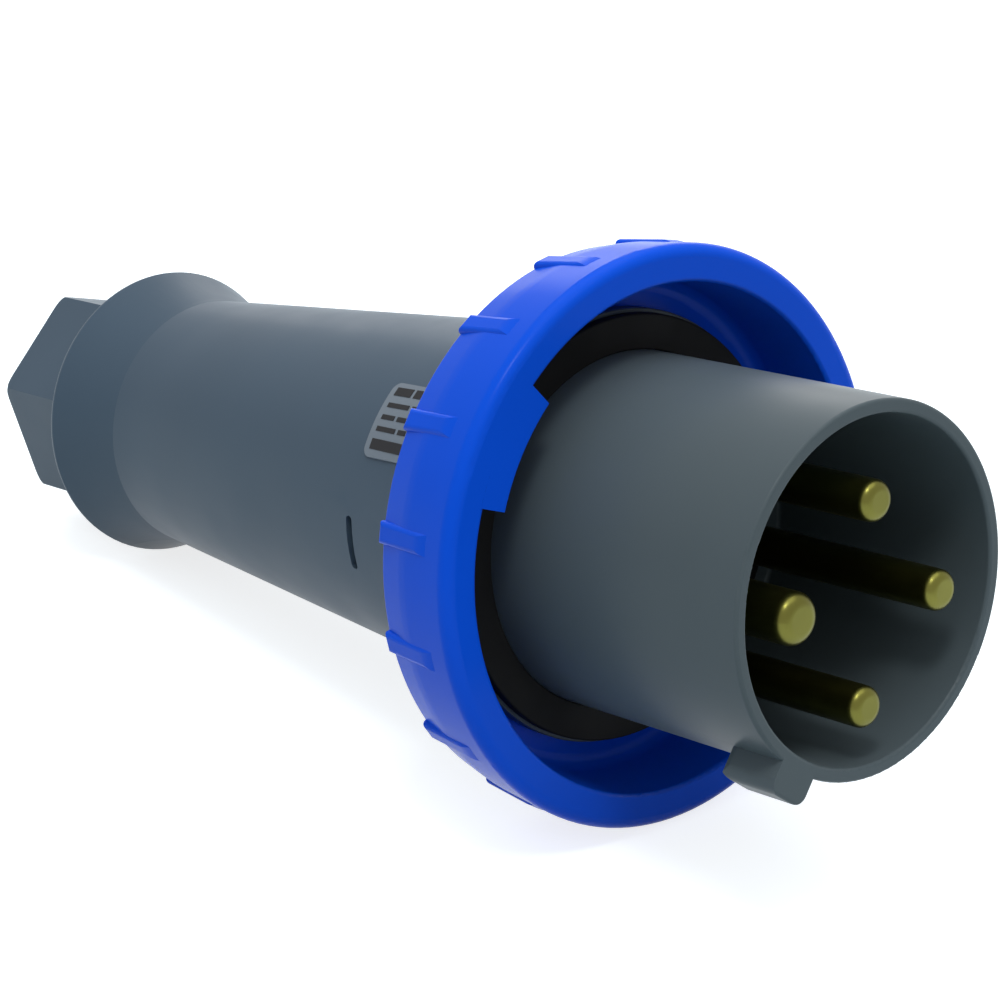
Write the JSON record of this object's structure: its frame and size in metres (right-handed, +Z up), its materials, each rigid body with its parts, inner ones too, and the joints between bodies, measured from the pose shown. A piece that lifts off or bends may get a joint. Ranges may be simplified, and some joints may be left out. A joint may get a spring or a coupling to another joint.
{
  "type": "pin and sleeve plug",
  "caption": "Industrial watertight pin and sleeve power plug with a tapered grey handle, hexagonal cable gland, blue bayonet locking ring and brass contact pins in a round shroud.",
  "frame": {"origin": "on the floor under the middle of the plug as it lies, z = 0 being the floor", "axes": "+Z up, +X along the floor towards the contact pins; the plug's own axis rises 8.82 degrees above +X"},
  "size_m": [0.2556, 0.1152, 0.1145],
  "materials": {
    "grey_housing": "satin moulded nylon",
    "blue_ring": "satin moulded nylon",
    "black_insulator": "matt moulded",
    "black_rubber": "matt",
    "contact_brass": "machined",
    "screw_steel": "plated",
    "washer_steel": "stamped",
    "label_metal": "satin"
  },
  "bodies": {
    "housing": {"front_housing": "grey_housing", "handle": "grey_housing", "flange_gasket": "black_rubber", "housing_seal": "black_rubber", "contact_carrier": "black_insulator", "carrier_back_plate": "black_insulator", "carrier_screws": "screw_steel", "earth_pin": "contact_brass", "line_pin_a": "contact_brass", "line_pin_b": "contact_brass", "line_pin_c": "contact_brass", "line_terminal_screws": "screw_steel", "earth_terminal_screw": "screw_steel", "latch_spring": "screw_steel", "label_plate": "label_metal", "clamp_ring": "black_insulator", "cable_seal": "black_rubber"},
    "ring": {"locking_ring": "blue_ring"},
    "latch": {"release_latch": "grey_housing"},
    "gland_carriage": {"gland_washer": "washer_steel"},
    "nut": {"gland_nut": "grey_housing"}
  },
  "joints": [
    {"name": "locking_ring_turn", "type": "hinge", "parent": "housing", "child": "ring", "pos_m": [0.07165, 0, 0.05795], "axis": [0.9882, 0, 0.1534], "range_deg": [0, 50]},
    {"name": "release_latch_press", "type": "slide", "parent": "housing", "child": "latch", "axis": [-0.01, 0.9979, 0.0646], "range_m": [0, 0.0024], "stiffness_N_per_m": 600, "springref_m": -0.002, "deforming": ["latch_spring"]},
    {"name": "gland_nut_advance", "type": "slide", "parent": "housing", "child": "gland_carriage", "axis": [-0.9882, 0, -0.1534], "range_m": [0, 0.0045]},
    {"name": "gland_nut_turn", "type": "hinge", "parent": "gland_carriage", "child": "nut", "pos_m": [-0.10622, 0, 0.03033], "axis": [-0.9882, 0, -0.1534], "range_deg": [0, 1082]}
  ],
  "couplings": [
    {"joint": "gland_nut_turn", "follows": "gland_nut_advance", "rad_per_m": 4188.8}
  ]
}
